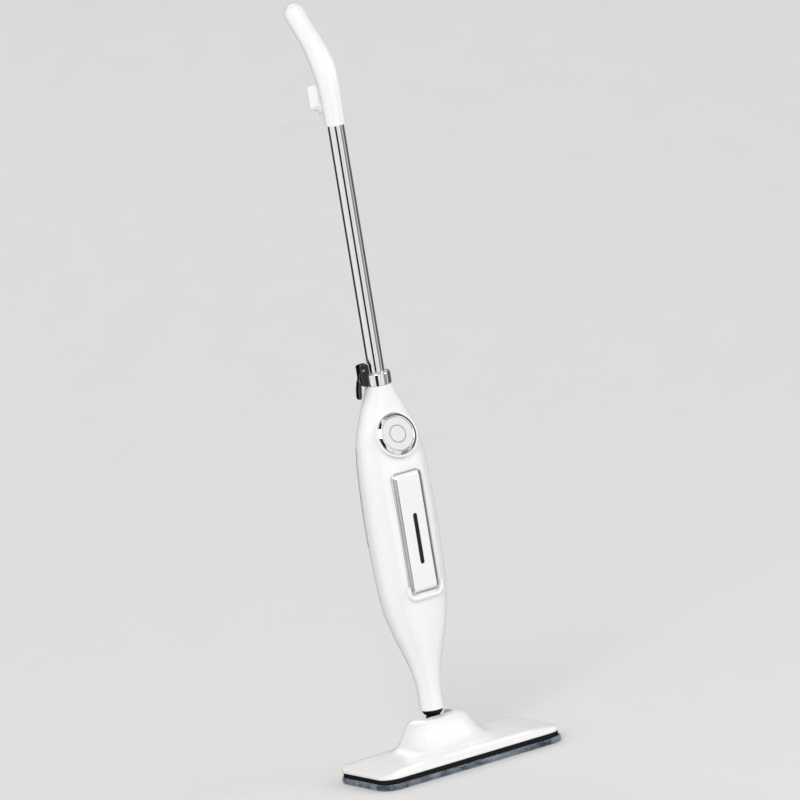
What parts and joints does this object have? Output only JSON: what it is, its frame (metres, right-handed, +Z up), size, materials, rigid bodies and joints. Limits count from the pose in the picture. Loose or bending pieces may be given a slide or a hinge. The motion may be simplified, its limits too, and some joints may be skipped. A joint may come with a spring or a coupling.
{
  "type": "steam mop",
  "caption": "Upright steam mop: flat head with a microfibre pad, tilting neck, slim body with lift-out water tank and round power button, telescopic chrome tube and bent grip.",
  "frame": {"origin": "centre of the mop pad's flat underside, on the floor", "axes": "+Z up along the upright body and tube, -Y towards the front of the mop (tank and button), +X to the right seen from the front"},
  "size_m": [0.322, 0.1904, 1.163],
  "materials": {
    "white_shell": "satin gloss",
    "tank_white": "satin gloss",
    "inner_plastic": "matt",
    "black_plastic": "satin",
    "grey_plastic": "satin",
    "pad_cloth": "microfibre pile",
    "steel": "zinc plated",
    "bright_chrome": "mirror",
    "dark_chrome": "dark mirror",
    "heater_aluminium": "cast",
    "circuit_green": "solder mask",
    "silicone": "smooth",
    "black_rubber": "matt",
    "smoked_window": "gloss"
  },
  "bodies": {
    "head": {"head_top_shell": "white_shell", "base_plate": "black_plastic", "steam_distributor": "grey_plastic", "mop_pad": "pad_cloth", "hook_tape_front": "black_plastic", "hook_tape_rear": "black_plastic", "head_screw_1": "steel", "head_screw_2": "steel", "head_screw_3": "steel", "head_screw_4": "steel", "tilt_pin": "steel"},
    "knuckle": {"neck_knuckle": "black_plastic", "swivel_pin": "steel"},
    "wand": {"neck_collar": "black_plastic", "front_shell": "white_shell", "rear_shell": "white_shell", "side_trim_left": "grey_plastic", "side_trim_right": "grey_plastic", "shell_screw_1": "steel", "shell_screw_2": "steel", "shell_screw_3": "steel", "shell_screw_4": "steel", "tank_bead": "bright_chrome", "button_bezel": "bright_chrome", "button_switch": "black_plastic", "switch_board": "circuit_green", "boiler": "heater_aluminium", "pump": "grey_plastic", "control_board": "circuit_green", "water_inlet_hose": "silicone", "boiler_feed_hose": "silicone", "steam_hose": "silicone", "cord_gland": "black_rubber", "guide_sleeve": "inner_plastic", "clamp_collar": "bright_chrome", "brake_shoe": "black_plastic", "lever_pin": "steel"},
    "tank": {"water_tank": "tank_white", "level_window": "smoked_window", "tank_plug": "black_rubber"},
    "button": {"power_button": "white_shell"},
    "lever": {"clamp_lever": "dark_chrome"},
    "pole": {"telescopic_tube": "bright_chrome", "tube_glide_bush": "inner_plastic", "grip_left_shell": "white_shell", "grip_right_shell": "white_shell", "grip_screw_1": "steel", "grip_screw_2": "steel", "grip_screw_3": "steel"},
    "hook": {"upper_cord_hook": "white_shell"}
  },
  "joints": [
    {"name": "neck_tilt", "type": "hinge", "parent": "head", "child": "knuckle", "pos_m": [0, 0.033, 0.042], "axis": [-1, 0, 0], "range_deg": [0, 75]},
    {"name": "neck_swivel", "type": "hinge", "parent": "knuckle", "child": "wand", "pos_m": [0, 0.033, 0.0608], "axis": [0, 1, 0], "range_deg": [-30, 30]},
    {"name": "tank_pull", "type": "slide", "parent": "wand", "child": "tank", "axis": [0, -1, 0], "range_m": [0, 0.06]},
    {"name": "button_press", "type": "slide", "parent": "wand", "child": "button", "axis": [0, 0.9397, -0.342], "range_m": [0, 0.0015], "stiffness_N_per_m": 1500, "springref_m": -0.0003},
    {"name": "lever_flip", "type": "hinge", "parent": "wand", "child": "lever", "pos_m": [-0.0255, 0.033, 0.61], "axis": [0, 1, 0], "range_deg": [0, 120]},
    {"name": "pole_slide", "type": "slide", "parent": "wand", "child": "pole", "axis": [0, 0, 1], "range_m": [-0.22, 0]},
    {"name": "hook_twist", "type": "hinge", "parent": "pole", "child": "hook", "pos_m": [0, 0.033, 1.006], "axis": [0, 1, 0], "range_deg": [0, 180]}
  ]
}
